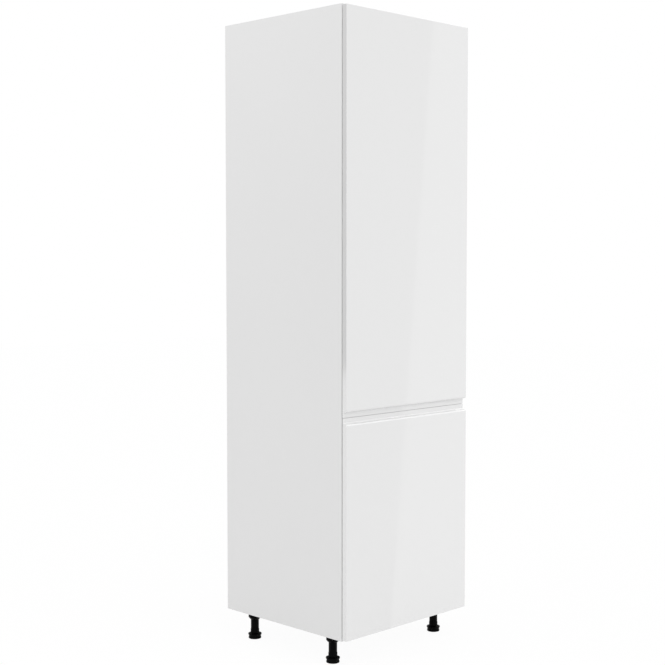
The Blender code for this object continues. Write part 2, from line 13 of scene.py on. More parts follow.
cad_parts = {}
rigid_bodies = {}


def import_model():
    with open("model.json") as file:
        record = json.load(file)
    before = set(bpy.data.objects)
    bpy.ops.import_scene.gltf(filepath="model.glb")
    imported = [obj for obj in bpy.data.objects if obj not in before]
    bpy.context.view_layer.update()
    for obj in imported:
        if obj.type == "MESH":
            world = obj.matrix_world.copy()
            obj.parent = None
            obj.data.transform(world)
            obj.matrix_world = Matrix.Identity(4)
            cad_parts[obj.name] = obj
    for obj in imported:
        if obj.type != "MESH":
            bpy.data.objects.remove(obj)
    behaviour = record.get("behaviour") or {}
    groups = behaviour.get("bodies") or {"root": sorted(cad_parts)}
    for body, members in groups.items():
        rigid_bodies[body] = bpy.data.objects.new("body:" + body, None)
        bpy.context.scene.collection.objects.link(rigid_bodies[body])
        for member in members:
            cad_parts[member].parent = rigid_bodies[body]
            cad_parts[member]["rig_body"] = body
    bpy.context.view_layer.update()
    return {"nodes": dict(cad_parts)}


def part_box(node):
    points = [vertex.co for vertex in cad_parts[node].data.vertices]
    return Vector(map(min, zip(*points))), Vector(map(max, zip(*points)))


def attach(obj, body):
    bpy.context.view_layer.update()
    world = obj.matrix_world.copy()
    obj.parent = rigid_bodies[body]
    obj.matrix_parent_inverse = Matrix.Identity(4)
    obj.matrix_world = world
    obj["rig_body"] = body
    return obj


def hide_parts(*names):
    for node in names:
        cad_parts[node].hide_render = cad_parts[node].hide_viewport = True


bl_info = {
    "name": "Tall Kitchen Cabinet",
    "version": (1, 0, 0),
    "blender": (4, 5, 0),
    "location": "View3D > Sidebar > Cabinet",
    "description": "Dresses a tall kitchen cabinet: boards, doors, hinges, shelf pins and legs",
    "category": "Object",
}

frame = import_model()
NODES = frame["nodes"]

HINGES = [name[len("hinge_plate_"):] for name in sorted(NODES) if name.startswith("hinge_plate_")]
PINS = [name for name in sorted(NODES) if name.startswith("pin_")]
SHELVES = [name for name in sorted(NODES) if name.startswith("shelf_")]
LEGS = [name[len("leg_foot_"):] for name in sorted(NODES) if name.startswith("leg_foot_")]

# Viewpoint of the photograph, 665 pixels wide
CAMERA_PLACE = (-3.1804, -3.1016, 1.3174)
CAMERA_HEADING = 45.079
CAMERA_PITCH = -3.2575
CAMERA_LENS = 69.33

# Light, where 1 on the world or the floor is white
WORLD_LIGHT = 0.875
FLOOR_GLOW = 1.01
FLOOR_GLOW_SHARE = 0.945
SUN_POWER = 0.50
SUN_WIDTH = 80
SUN_HEADING = (0.06, 0.65, -0.5)
SIDE_LAMP_POWER = 11.0
SIDE_LAMP_WIDTH = 1.6
SIDE_LAMP_PLACE = (-2.5, 0.6, 3.2)
SIDE_LAMP_TARGET = (-0.3, 0.0, 1.7)
SOFTBOX_EDGE = (3.648, -3.5, 0.764)
SOFTBOX_LEAN = 5.77
SOFTBOX_WIDTH = 1.8
SOFTBOX_LENGTH = 6.0
SOFTBOX_GLOW = 0.22
OVERHEAD_PLACE = (3.6, -1.4, 4.0)
OVERHEAD_TARGET = (0.0, -0.29, 0.8)
OVERHEAD_WIDTH = 3.0
OVERHEAD_GLOW = 1.2
FLAG_LOW = (-8.0, 4.0, 0.43)
FLAG_HIGH = (-2.2, 4.0, 5.5)

# Floor: its half width, how far below the feet it lies, and its colour away from the camera
FLOOR_SIZE = 14.0
FLOOR_DROP = 0.0003
FLOOR_COLOUR = (0.8, 0.8, 0.8, 1.0)

WHITE = (1.0, 1.0, 1.0, 1.0)
BLACK = (0.0, 0.0, 0.0, 1.0)
EVEN = (1.0, 1.0, 1.0)

# Refraction and roughness of the doors' clear coats, then what other finishes share or need
FRONT_COAT = (1.6, 0.015)
EDGE_COAT = (2.0, 0.09)
PLASTIC_SHINE = 0.04
BUMPER_CLEARNESS = 0.6
RAW_ROUGHNESS = 0.9
TEXTURE_DETAIL = 3.0
DRIFT_DETAIL = 2.0

# Limits of the mesh work: lengths, angles, and shares of a direction or of an edge
MERGE = 0.00001
OVERRUN = 0.002
LONG_EDGE = 0.02
CRISP_ANGLE = math.radians(40)
FLAT_ANGLE = math.radians(1)
FACES_THERE = 0.99
FACES_FORWARD = -0.5
CORNER_SHARE = 0.4

# How finely round shapes are divided
EDGE_STEPS = 2
WIDE_EDGE_STEPS = 4
CORNER_STEPS = 3
ARC_STEPS = 12
BORE_SIDES = 16
PIN_SIDES = 28
SMALL_SIDES = 36
CUP_SIDES = 64
LEG_SIDES = 72
TUBE_RIBS = 12
RIB_SIDES = 8
THREAD_STEPS = 8

# Places in a piece's list of finishes, after the first, and how many there can be
OTHER_FACE = 1
BORED = 2
SIDE_EDGE = 3
FINISH_PLACES = 4

# Spare bores above and below a shelf pin, counted in steps from it
BORE_ROWS = (-2, -1, 0, 1, 2)

# Screws, as shares of an arm's length, of a head's radius or height, and turns in degrees
ARM_SCREW_SHARES = (0.22, 0.66)
SCREW_HEIGHT_SHARE = 0.55
SCREW_ROUND_SHARE = 1 / 3
SCREW_DOME_SHARES = ((0, 1), (0.55, 0.92), (1, 0.35), (1, 0), (0, 0))
CROSS_LENGTH_SHARE = 0.55
CROSS_WIDTH_SHARE = 0.13
CROSS_FLOOR_SHARE = 0.3
SCREW_TURN = 25
SCREW_TURN_STEP = 40


def length(name, description, default):
    """A length, shown in the scene's units."""
    return FloatProperty(
        name=name, description=description, default=default, min=0.0, precision=5, unit="LENGTH",
        subtype="DISTANCE")


def colour(name, description, default):
    """A surface colour, in linear values."""
    return FloatVectorProperty(
        name=name, description=description, default=(*default, 1.0), size=4, min=0.0, max=1.0,
        subtype="COLOR")


class CabinetSizes(bpy.types.PropertyGroup):
    """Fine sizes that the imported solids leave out, or that the finer pieces repeat."""
    band: length("Edge band", "Thickness of the plastic band on a board's front edge", 0.0006)
    band_round: length("Band edge", "Rounding of a band's edges", 0.0002)
    board_round: length("Board edge", "Rounding of a board's edges", 0.0003)
    door_round: length("Door side edge", "Rounding of a door's two side edges", 0.0008)
    grip_height: length("Grip height", "Height of the milled finger grip", 0.026)
    grip_lip: length("Grip lip", "Thickness left behind the finger grip", 0.0035)
    grip_hollow: length("Grip hollow", "Radius of the grip's inner corner", 0.007)
    grip_nose: length("Grip nose", "Radius of the front edge over the grip", 0.007)
    door_edge: length("Door end edge", "Radius of the door's plain end", 0.001)
    bore: length("Pin bore", "Radius of a shelf pin bore", 0.0026)
    bore_depth: length("Pin bore depth", "Depth of a shelf pin bore", 0.0115)
    bore_pitch: length("Bore pitch", "Distance from one pin bore to the next", 0.032)
    cap_radius: length("Cam cap", "Radius of the cap over a cam dowel", 0.0085)
    cap_height: length("Cam cap height", "How far a cam cap stands proud", 0.0012)
    cap_inset: length("Cam cap inset", "Distance of a cam cap from the board's end", 0.034)
    bumper_radius: length("Bumper", "Radius of a clear door bumper", 0.004)
    bumper_height: length("Bumper height", "Thickness of a clear door bumper", 0.0014)
    screw_head: length("Screw head", "Radius of a hinge screw's head", 0.0032)
    plate_screws: length("Plate screws", "Distance of a plate's screws from its middle", 0.016)
    arm_height: length("Arm height", "Height of a hinge arm over its plate", 0.0095)
    arm_round: length("Arm edge", "Rounding of a hinge arm's long edges", 0.0014)
    rim_width: length("Cup rim", "How far a hinge cup's rim reaches to each side", 0.0010)
    hinge_round: length("Hinge edge", "Rounding of a hinge's other edges", 0.0002)
    slot_radius: length("Arm slot", "Half the width of a slot in a hinge arm", 0.0040)
    slot_length: length("Arm slot length", "How much longer than wide an arm's slot is", 0.0050)
    slot_depth: length("Arm slot depth", "Depth of a slot in a hinge arm", 0.0008)
    fit: length("Fit", "Clearance between pieces that fit in each other", 0.0003)
    pin_radius: length("Shelf pin", "Radius of a shelf pin", 0.0025)
    pin_root: length("Pin root", "Length of a shelf pin in its board", 0.010)
    pin_collar: length("Pin collar", "Length of a shelf pin's collar", 0.001)
    foot_height: length("Foot height", "Height of a foot without its stem", 0.020)
    foot_base: length("Foot base", "Radius of a foot's base", 0.0219)
    foot_rim: length("Foot rim", "Height of a foot's base", 0.005)
    foot_waist: length("Foot waist", "Radius of a foot's waist", 0.0208)
    foot_waist_height: length("Foot waist height", "Height of a foot's waist", 0.0045)
    stem_radius: length("Foot stem", "Radius of a foot's threaded stem", 0.008)
    thread_pitch: length("Foot thread", "Pitch of the thread on a foot's stem", 0.003)
    thread_depth: length("Foot thread depth", "Depth of the thread on a foot's stem", 0.0009)
    tube_radius: length("Leg tube", "Radius of a leg's tube", 0.0140)
    flare_height: length("Tube flare", "Height of a tube's wider end", 0.011)
    flare_taper: length("Tube taper", "Height over which a tube's wider end narrows", 0.004)
    rib: length("Tube rib", "Depth of the grooves between a leg tube's ribs", 0.0007)
    socket_radius: length("Socket", "Radius of a socket's collar", 0.022)
    socket_plate: length("Socket plate", "Thickness of a socket's plate", 0.003)
    socket_step: length("Socket step", "Height of the slope under a socket's plate", 0.001)
    socket_roof: length("Socket roof", "Thickness of a socket over its tube", 0.004)
    socket_taper: length("Socket taper", "Height over which a socket's collar narrows", 0.007)
    socket_lip: length("Socket lip", "Wall at a socket's lower end", 0.0013)
    socket_screw: length("Socket screw", "Radius of a socket screw's head", 0.0028)
    moulded_round: length("Moulded edge", "Rounding of a moulded leg piece's edges", 0.0008)


class CabinetColours(bpy.types.PropertyGroup):
    """Colours of the finishes."""
    laminate: colour("Laminate", "Matt white of the boards", (0.80, 0.80, 0.80))
    gloss: colour("Gloss foil", "White of the doors' glossy foil", (0.81, 0.81, 0.81))
    # The side edges' white is a darker copy of the foil white: partly an edge band of its own, partly
    # painted shade on the doors' near edges.
    shaded_gloss_band: colour("Gloss band", "White of the doors' side edges", (0.77, 0.77, 0.77))
    band: colour("Edge band", "White of the plastic bands", (0.79, 0.79, 0.79))
    chip_light: colour("Light chips", "Pale chips of the raw board", (0.50, 0.36, 0.22))
    chip_dark: colour("Dark chips", "Dark chips of the raw board", (0.24, 0.15, 0.08))
    fibre_dark: colour("Dark fibres", "Dark fibres of the back sheet's raw side", (0.30, 0.18, 0.09))
    hardboard: colour("Hardboard", "Raw side of the back sheet", (0.40, 0.26, 0.15))
    lacquer: colour("Lacquer", "Painted side of the back sheet", (0.78, 0.78, 0.77))
    plastic: colour("Leg plastic", "Black of the moulded legs", (0.0022, 0.0022, 0.0022))
    nickel: colour("Nickel", "Plating of the hinges", (0.62, 0.60, 0.57))
    zinc: colour("Zinc", "Plating of pins and screws", (0.58, 0.58, 0.60))
    cap: colour("Cap plastic", "White of the cam caps", (0.76, 0.76, 0.75))
    bumper: colour("Bumper", "Clear soft plastic", (0.86, 0.87, 0.88))


def sizes():
    return bpy.context.scene.cabinet_sizes


def colours():
    return bpy.context.scene.cabinet_colours


def add_object(name, data):
    """A new object, placed in the scene."""
    made = bpy.data.objects.new(name, data)
    bpy.context.scene.collection.objects.link(made)
    return made


def hide_from(thing, *rays):
    """Leave an object unseen by these kinds of rays."""
    for ray in rays:
        setattr(thing, "visible_" + ray, False)


def new_group(name, inputs, outputs):
    """A shader node group with its input and output nodes."""
    group = bpy.data.node_groups.new(name, "ShaderNodeTree")
    for direction, sockets in (("INPUT", inputs), ("OUTPUT", outputs)):
        for label, kind in sockets.items():
            group.interface.new_socket(label, in_out=direction, socket_type="NodeSocket" + kind)
    return group, group.nodes.new("NodeGroupInput"), group.nodes.new("NodeGroupOutput")


def add_nodes(tree, *kinds):
    """New shader nodes, one of each kind named."""
    return [tree.nodes.new("ShaderNode" + kind) for kind in kinds]


def wire(tree, *joins):
    """Link nodes, with each link given as a node and its output, and a node and its input."""
    for source, output, target, entry in joins:
        tree.links.new(source.outputs[output], target.inputs[entry])


def fine_texture_group():
    """The small relief and the uneven gloss of a pressed, foiled or moulded surface."""
    group, inner, outer = new_group(
        "Fine Texture",
        {"Scale": "Float", "Stretch": "Vector", "Relief": "Float", "Smooth": "Float", "Rough": "Float"},
        {"Roughness": "Float", "Normal": "Vector"})
    place, mapping, noise, spread, bump = add_nodes(
        group, "TexCoord", "Mapping", "TexNoise", "MapRange", "Bump")
    noise.inputs["Detail"].default_value = TEXTURE_DETAIL
    bump.inputs["Strength"].default_value = 1.0
    wire(
        group,
        (place, "Object", mapping, "Vector"),
        (inner, "Stretch", mapping, "Scale"),
        (mapping, "Vector", noise, "Vector"),
        (inner, "Scale", noise, "Scale"),
        (noise, "Fac", spread, "Value"),
        (inner, "Smooth", spread, "To Min"),
        (inner, "Rough", spread, "To Max"),
        (noise, "Fac", bump, "Height"),
        (inner, "Relief", bump, "Distance"),
        (spread, "Result", outer, "Roughness"),
        (bump, "Normal", outer, "Normal"))


def tone_group():
    """A slow drift between two near colours, as on a sheet of laminate or a plated part."""
    group, inner, outer = new_group(
        "Tone Drift", {"Colour": "Color", "Shade": "Color", "Scale": "Float"}, {"Colour": "Color"})
    place, noise, mix = add_nodes(group, "TexCoord", "TexNoise", "Mix")
    noise.inputs["Detail"].default_value = DRIFT_DETAIL
    mix.data_type = "RGBA"
    wire(
        group,
        (place, "Object", noise, "Vector"),
        (inner, "Scale", noise, "Scale"),
        (noise, "Fac", mix, "Factor"),
        (inner, "Colour", mix, "A"),
        (inner, "Shade", mix, "B"),
        (mix, "Result", outer, "Colour"))


def chips_group():
    """Pressed wood chips or fibres, cut through: their colours and their relief."""
    group, inner, outer = new_group(
        "Pressed Chips",
        {"Light": "Color", "Dark": "Color", "Scale": "Float", "Stretch": "Vector", "Relief": "Float"},
        {"Colour": "Color", "Normal": "Vector"})
    place, mapping, cells, grey, mix, bump = add_nodes(
        group, "TexCoord", "Mapping", "TexVoronoi", "RGBToBW", "Mix", "Bump")
    mix.data_type = "RGBA"
    wire(
        group,
        (place, "Object", mapping, "Vector"),
        (inner, "Stretch", mapping, "Scale"),
        (mapping, "Vector", cells, "Vector"),
        (inner, "Scale", cells, "Scale"),
        (cells, "Color", grey, "Color"),
        (grey, "Val", mix, "Factor"),
        (inner, "Dark", mix, "A"),
        (inner, "Light", mix, "B"),
        (grey, "Val", bump, "Height"),
        (inner, "Relief", bump, "Distance"),
        (mix, "Result", outer, "Colour"),
        (bump, "Normal", outer, "Normal"))


def place_group(material, name, values):
    """A node group in a material, with that material's own values."""
    node = material.node_tree.nodes.new("ShaderNodeGroup")
    node.node_tree = bpy.data.node_groups[name]
    for label, value in values.items():
        node.inputs[label].default_value = value
    return node


def new_material(name, roughness=0.5, metallic=0.0):
    material = bpy.data.materials.new(name)
    material.use_nodes = True
    shader = material.node_tree.nodes["Principled BSDF"]
    shader.inputs["Roughness"].default_value = roughness
    shader.inputs["Metallic"].default_value = metallic
    return material, shader


def drifting_tone(material, base, shade, drift):
    """A colour that drifts towards a darker shade of itself."""
    darker = [channel * shade for channel in base[:3]]
    return place_group(material, "Tone Drift", {"Colour": base, "Shade": (*darker, 1.0), "Scale": drift})


def finish_material(
        name, base, scale, relief, smooth, rough, stretch=EVEN, shade=0.985, drift=3.0, metallic=0.0):
    """A material with a slow drift of tone, and the relief and gloss of its fine texture."""
    material, shader = new_material(name, metallic=metallic)
    tone = drifting_tone(material, base, shade, drift)
    fine = place_group(
        material, "Fine Texture",
        {"Scale": scale, "Stretch": stretch, "Relief": relief, "Smooth": smooth, "Rough": rough})
    wire(
        material.node_tree,
        (tone, "Colour", shader, "Base Color"),
        (fine, "Roughness", shader, "Roughness"),
        (fine, "Normal", shader, "Normal"))
    return shader


def chips_material(name, light, dark, scale, stretch, relief, shade=0.85, drift=8.0):
    """Raw board, where a cut edge, a bore or an unpainted side shows its chips."""
    material, shader = new_material(name, roughness=RAW_ROUGHNESS)
    tone = drifting_tone(material, light, shade, drift)
    chips = place_group(
        material, "Pressed Chips", {"Dark": dark, "Scale": scale, "Stretch": stretch, "Relief": relief})
    wire(
        material.node_tree,
        (tone, "Colour", chips, "Light"),
        (chips, "Colour", shader, "Base Color"),
        (chips, "Normal", shader, "Normal"))


def make_finishes():
    """Every finish of the cabinet, from the colours in the sidebar."""
    fine_texture_group()
    tone_group()
    chips_group()
    tint = colours()
    for name, smooth, rough in (("laminate_matt", 0.42, 0.54), ("door_back_matt", 0.45, 0.58)):
        finish_material(name, tint.laminate, scale=900.0, relief=0.000012, smooth=smooth, rough=rough)
    gloss = finish_material(
        "foil_gloss", tint.gloss, scale=18.0, relief=0.00001, smooth=0.03, rough=0.045, shade=0.995)
    # The doors' side edges: an edge band with its own coat, in a darker white that is partly painted
    # shade.
    edge = finish_material(
        "band_gloss", tint.shaded_gloss_band, scale=18.0, relief=0.00001, smooth=0.08, rough=0.12, shade=0.995)
    for shader, (refraction, roughness) in ((gloss, FRONT_COAT), (edge, EDGE_COAT)):
        shader.inputs["Coat Weight"].default_value = 1.0
        shader.inputs["Coat Roughness"].default_value = roughness
        shader.inputs["Coat IOR"].default_value = refraction
    finish_material(
        "band_plastic", tint.band, scale=400.0, relief=0.00001, smooth=0.30, rough=0.42,
        stretch=(1.0, 1.0, 0.2))
    chips_material(
        "board_chips", tint.chip_light, tint.chip_dark, scale=420.0, stretch=(1.0, 0.35, 0.35),
        relief=0.0001)
    chips_material(
        "board_bore", tint.chip_light, tint.chip_dark, scale=700.0, stretch=EVEN, relief=0.00006)
    chips_material(
        "hardboard_raw", tint.hardboard, tint.fibre_dark, scale=500.0, stretch=(0.5, 1.0, 0.5),
        relief=0.00003, shade=0.7, drift=2.5)
    finish_material(
        "hardboard_lacquer", tint.lacquer, scale=500.0, relief=0.000015, smooth=0.45, rough=0.60)
    plastic = finish_material(
        "leg_black", tint.plastic, scale=1400.0, relief=0.00002, smooth=0.32, rough=0.46, shade=0.7,
        drift=40.0)
    plastic.inputs["Specular IOR Level"].default_value = PLASTIC_SHINE
    finish_material(
        "hinge_nickel", tint.nickel, scale=900.0, relief=0.000003, smooth=0.25, rough=0.33,
        stretch=(1.0, 0.1, 1.0), shade=0.96, drift=25.0, metallic=1.0)
    finish_material(
        "pin_zinc", tint.zinc, scale=1200.0, relief=0.000004, smooth=0.26, rough=0.42, shade=0.85,
        drift=150.0, metallic=1.0)
    finish_material("cap_white", tint.cap, scale=900.0, relief=0.00001, smooth=0.35, rough=0.48)
    bumper = finish_material(
        "bumper_clear", tint.bumper, scale=600.0, relief=0.00001, smooth=0.12, rough=0.22)
    bumper.inputs["Transmission Weight"].default_value = BUMPER_CLEARNESS


class CABINET_OT_finishes(bpy.types.Operator):
    """Make every finish, from the colours in the sidebar"""
    bl_idname = "cabinet.finishes"
    bl_label = "Finishes"

    def execute(self, context):
        make_finishes()
        return {"FINISHED"}


def body_of(node):
    return NODES[node]["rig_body"]


def add_piece(name, mesh, body, materials, replaced=(), matrix=None):
    """A piece that rides on a body, smooth but for its crisp edges."""
    mesh.shade_smooth()
    mesh.set_sharp_from_angle(angle=CRISP_ANGLE)
    chosen = [min(face.material_index, len(materials) - 1) for face in mesh.polygons]
    mesh.materials.clear()
    for material in materials:
        mesh.materials.append(bpy.data.materials[material])
    for face, index in zip(mesh.polygons, chosen):
        face.material_index = index
    piece = add_object(name, mesh)
    if matrix is not None:
        piece.matrix_world = matrix
    level = piece.modifiers.new("flat_faces_stay_flat", "WEIGHTED_NORMAL")
    level.keep_sharp = True
    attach(piece, body)
    if replaced:
        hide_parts(*replaced)


def add_for_node(node, ending, mesh, materials, matrix=None):
    """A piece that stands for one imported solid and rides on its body."""
    add_piece(node + ending, mesh, body_of(node), materials, [node], matrix)


def add_plated(node, mesh):
    add_for_node(node, "_plated", mesh, ["hinge_nickel"])


def add_moulded(node, mesh, *place):
    matrix = Matrix.Translation(place)
    add_for_node(node, "_moulded", mesh, ["leg_black"], matrix)


def mesh_from(work, name):
    bmesh.ops.recalc_face_normals(work, faces=work.faces)
    mesh = bpy.data.meshes.new(name)
    work.to_mesh(mesh)
    work.free()
    return mesh


def is_crisp(edge):
    return edge.is_manifold and edge.calc_face_angle() > CRISP_ANGLE


def round_edges(work, edges, width, steps=EDGE_STEPS, clamped=True):
    bmesh.ops.bevel(
        work, geom=edges, offset=width, offset_type="OFFSET", segments=steps, profile=0.5,
        affect="EDGES", clamp_overlap=clamped)


def facing(direction):
    """The turn that points +Z in a direction."""
    return Vector(direction).to_track_quat("Z", "Y").to_matrix().to_4x4()


def add_box(work, low, high):
    """A box between two corners, added to a mesh in the making."""
    low, high = Vector(low), Vector(high)
    made = bmesh.ops.create_cube(work, size=1.0)["verts"]
    bmesh.ops.scale(work, vec=high - low, verts=made)
    bmesh.ops.translate(work, vec=(low + high) / 2, verts=made)


def add_rod(work, radius, start, end, sides):
    """A round bar from one point to another, added to a mesh in the making."""
    start, end = Vector(start), Vector(end)
    made = bmesh.ops.create_cone(
        work, cap_ends=True, segments=sides, radius1=radius, radius2=radius, depth=(end - start).length)
    bmesh.ops.transform(
        work, matrix=Matrix.Translation((start + end) / 2) @ facing(end - start), verts=made["verts"])


def box_mesh(name, low, high, width=0):
    """A box between two corners, with its edges rounded if a width is given."""
    work = bmesh.new()
    add_box(work, low, high)
    if width:
        round_edges(work, [edge for edge in work.edges if is_crisp(edge)], width)
    return mesh_from(work, name)


def bores_mesh(rods, sides):
    """The bars that cut bores, each given as radius, start and end."""
    work = bmesh.new()
    for radius, start, end in rods:
        add_rod(work, radius, start, end, sides)
    for face in work.faces:
        face.material_index = BORED
    return mesh_from(work, "bores")


def combined(mesh, other, operation="DIFFERENCE"):
    """The mesh of one solid cut by, or joined to, another. Both inputs are used up."""
    for each in (mesh, other):
        while len(each.materials) < FINISH_PLACES:
            each.materials.append(None)
    solid, guide = add_object("solid_in_work", mesh), add_object("guide_in_work", other)
    boolean = solid.modifiers.new("combine", "BOOLEAN")
    boolean.operation = operation
    boolean.solver = "EXACT"
    boolean.object = guide
    bpy.context.view_layer.update()
    result = bpy.data.meshes.new_from_object(
        solid.evaluated_get(bpy.context.evaluated_depsgraph_get()))
    result.name = mesh.name
    for obj in (solid, guide):
        bpy.data.objects.remove(obj, do_unlink=True)
    for used in (mesh, other):
        bpy.data.meshes.remove(used)
    return result


def arc(centre, radius, start, end):
    """Points on an arc, from one angle to another in degrees."""
    points = []
    for index in range(ARC_STEPS + 1):
        angle = math.radians(start + (end - start) * index / ARC_STEPS)
        points.append((centre[0] + radius * math.cos(angle), centre[1] + radius * math.sin(angle)))
    return points


def softened(profile, radius):
    """A profile with its inner corners rounded, as far as its edges leave room."""
    points = [Vector(profile[0])]
    for before, corner, after in zip(profile, profile[1:], profile[2:]):
        before, corner, after = Vector(before), Vector(corner), Vector(after)
        room = min((before - corner).length, (after - corner).length) * CORNER_SHARE
        reach = min(radius, room)
        start = corner + (before - corner).normalized() * reach
        end = corner + (after - corner).normalized() * reach
        for index in range(CORNER_STEPS + 1):
            share = index / CORNER_STEPS
            points.append(start.lerp(corner, share).lerp(corner.lerp(end, share), share))
    points.append(Vector(profile[-1]))
    return points


def turned_mesh(name, profile, sides, radius_at=None):
    """A turned shape about +Z. radius_at may change a ring's radius by angle and height."""
    work = bmesh.new()
    rings = []
    for radius, height in profile:
        if radius < MERGE:
            rings.append([work.verts.new((0, 0, height))] * sides)
            continue
        ring = []
        for index in range(sides):
            angle = math.tau * index / sides
            reach = radius_at(radius, height, angle) if radius_at else radius
            ring.append(work.verts.new((reach * math.cos(angle), reach * math.sin(angle), height)))
        rings.append(ring)
    for upper, lower in zip(rings, rings[1:]):
        for index in range(sides):
            after = (index + 1) % sides
            corners = [upper[index], upper[after], lower[after], lower[index]]
            work.faces.new(list(dict.fromkeys(corners)))
    bmesh.ops.remove_doubles(work, verts=work.verts, dist=MERGE)
    return mesh_from(work, name)


def add_prism(work, outline, x_low, x_high):
    """An outline of (y, z) points drawn out along X, added to a mesh in the making."""
    cap = work.faces.new([work.verts.new((x_low, y, z)) for y, z in outline])
    drawn = bmesh.ops.extrude_face_region(work, geom=[cap])["geom"]
    far = [item for item in drawn if isinstance(item, bmesh.types.BMVert)]
    bmesh.ops.translate(work, vec=(x_high - x_low, 0, 0), verts=far)
    bmesh.ops.recalc_face_normals(work, faces=work.faces)


def refined_mesh(node, width, long_width=0, long_side=0):
    """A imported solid's own mesh, with whole flat faces and rounded edges.

    Long edges along Y, where x is below long_side, are rounded by long_width instead.
    """
    work = bmesh.new()
    work.from_mesh(NODES[node].data)
    bmesh.ops.remove_doubles(work, verts=work.verts, dist=MERGE)
    bmesh.ops.dissolve_limit(work, angle_limit=FLAT_ANGLE, verts=work.verts, edges=work.edges)
    if long_width:
        long_edges = [
            edge for edge in work.edges
            if is_crisp(edge) and all(vert.co.x < long_side for vert in edge.verts)
            and abs(edge.verts[0].co.y - edge.verts[1].co.y) > LONG_EDGE]
        round_edges(work, long_edges, long_width, WIDE_EDGE_STEPS)
    round_edges(work, [edge for edge in work.edges if is_crisp(edge)], width)
    return mesh_from(work, node + "_refined")


def raw_sides(mesh, directions):
    """Give the second material to the faces that look in these directions."""
    for face in mesh.polygons:
        if any(face.normal.dot(Vector(direction)) > FACES_THERE for direction in directions):
            face.material_index = OTHER_FACE


def spare_bores(side):
    """Bores above and below each shelf pin of a side, left out where a hinge plate lies."""
    pitch = sizes().bore_pitch
    margin = pitch / 2
    plates = [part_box("hinge_plate_" + hinge) for hinge in HINGES]
    places = []
    for pin in PINS:
        if not pin.endswith(side):
            continue
        low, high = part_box(pin)
        middle = (low + high) / 2
        for step in BORE_ROWS:
            height = middle.z + step * pitch
            covered = side == "right" and "front" in pin and any(
                bottom.z - margin < height < top.z + margin for bottom, top in plates)
            if step == 0 or not covered:
                places.append((middle.y, height))
    return places


def make_side_board(side):
    """A side board with its groove, its rows of bores and the band on its front edge."""
    size = sizes()
    sign = -1 if side == "left" else 1
    node = "side_panel_" + side
    low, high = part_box(node)
    inner = min(abs(low.x), abs(high.x))
    sheet_low, sheet_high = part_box("back_sheet")
    mesh = box_mesh("side_board_" + side, (low.x, low.y + size.band, low.z), high, size.board_round)
    groove_x = sorted((sign * (inner - OVERRUN), sign * (sheet_high.x + size.fit)))
    groove = box_mesh(
        "groove", (groove_x[0], sheet_low.y - size.fit, low.z - OVERRUN),
        (groove_x[1], sheet_high.y + size.fit, high.z + OVERRUN))
    mesh = combined(mesh, groove)
    rods = [
        (size.bore, (sign * (inner - OVERRUN), y, z), (sign * (inner + size.bore_depth), y, z))
        for y, z in spare_bores(side)]
    mesh = combined(mesh, bores_mesh(rods, BORE_SIDES))
    raw_sides(mesh, ((0, 1, 0), (0, 0, 1), (0, 0, -1)))
    add_piece(
        "side_board_" + side, mesh, "carcass", ["laminate_matt", "board_chips", "board_bore"],
        [node])
    make_band("side_" + side, low, high)


def make_band(name, low, high):
    """The plastic band on the front edge of the board between two corners."""
    size = sizes()
    mesh = box_mesh("edge_band_" + name, low, (high.x, low.y + size.band, high.z), size.band_round)
    add_piece("edge_band_" + name, mesh, "carcass", ["band_plastic"])


def make_cross_board(node):
    """A bottom, top or shelf board, with its band."""
    size = sizes()
    low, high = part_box(node)
    mesh = box_mesh(node + "_board", (low.x, low.y + size.band, low.z), high, size.board_round)
    raw_sides(mesh, ((1, 0, 0), (-1, 0, 0), (0, 1, 0)))
    add_for_node(node, "_board", mesh, ["laminate_matt", "board_chips"])
    make_band(node, low, high)


class CABINET_OT_boards(bpy.types.Operator):
    """Make the side boards, the boards between them, their bands and the shelves"""
    bl_idname = "cabinet.boards"
    bl_label = "Boards"

    def execute(self, context):
        for side in ("left", "right"):
            make_side_board(side)
        for node in ["bottom_panel", "fixed_shelf", "top_panel", *SHELVES]:
            make_cross_board(node)
        return {"FINISHED"}


class CABINET_OT_back_sheet(bpy.types.Operator):
    """Make the back sheet, painted inside and raw hardboard outside"""
    bl_idname = "cabinet.back_sheet"
    bl_label = "Back Sheet"

    def execute(self, context):
        low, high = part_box("back_sheet")
        mesh = box_mesh("back_sheet_board", low, high, sizes().board_round)
        for face in mesh.polygons:
            face.material_index = 0 if face.normal.y < FACES_FORWARD else OTHER_FACE
        add_for_node(
            "back_sheet", "_board", mesh, ["hardboard_lacquer", "hardboard_raw"])
        return {"FINISHED"}


def door_section(thickness, span):
    """A door's section: depth forward from its back, and height from its grip end."""
    size = sizes()
    shoulder = size.grip_height - size.grip_nose
    points = [(0, 0), (size.grip_lip, 0)]
    hollow = (size.grip_lip + size.grip_hollow, shoulder - size.grip_hollow)
    points += arc(hollow, size.grip_hollow, 180, 90)
    points += arc((thickness - size.grip_nose, size.grip_height), size.grip_nose, -90, 0)
    points += arc((thickness - size.door_edge, span - size.door_edge), size.door_edge, 0, 90)
    return points + [(0, span)]


